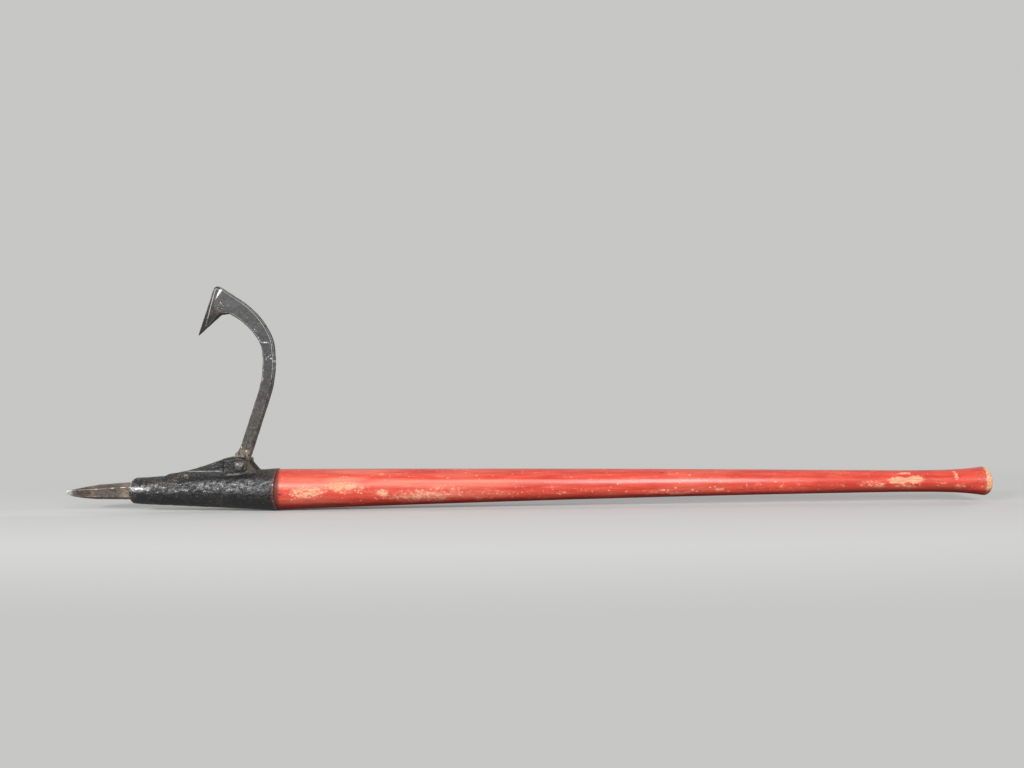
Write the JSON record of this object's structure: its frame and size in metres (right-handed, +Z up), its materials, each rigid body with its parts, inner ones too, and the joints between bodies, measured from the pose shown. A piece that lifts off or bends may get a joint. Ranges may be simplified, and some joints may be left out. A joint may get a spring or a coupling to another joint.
{
  "type": "cant hook",
  "caption": "Spiked cant hook: a long tapered wooden lever in an iron socket, with a pike in its nose and a forged hook swinging on a bolt, for gripping and rolling logs.",
  "frame": {"origin": "under the middle of the tool's length, level with its lowest line, which is the bottom of the socket's mouth", "axes": "+X along the tool from the pike to the flared end of the handle, +Z up towards the hook, +Y across the tool from the bolt's head to its nut"},
  "size_m": [1.325, 0.0608, 0.3235],
  "materials": {
    "handle_paint": "red paint on turned hardwood, worn through to pale wood in patches",
    "socket_iron": "rough casting with worn black paint and rust",
    "pike_steel": "forged and darkened, brown rust with bright worn edges",
    "hook_steel": "forged and darkened, pitted, with bright worn edges",
    "bolt_steel": "black paint worn to dark steel",
    "nail_steel": "dull and rusty"
  },
  "bodies": {
    "lever": {"handle": "handle_paint", "socket": "socket_iron", "pike": "pike_steel", "hook_bolt": "bolt_steel", "bolt_nut": "bolt_steel", "lock_washer": "bolt_steel", "handle_nail": "nail_steel"},
    "hook": {"hook": "hook_steel"}
  },
  "joints": [
    {"name": "hook_pivot", "type": "hinge", "parent": "lever", "child": "hook", "pos_m": [-0.409, 0, 0.06592], "axis": [0, 1, 0], "range_deg": [-79, 59]}
  ]
}
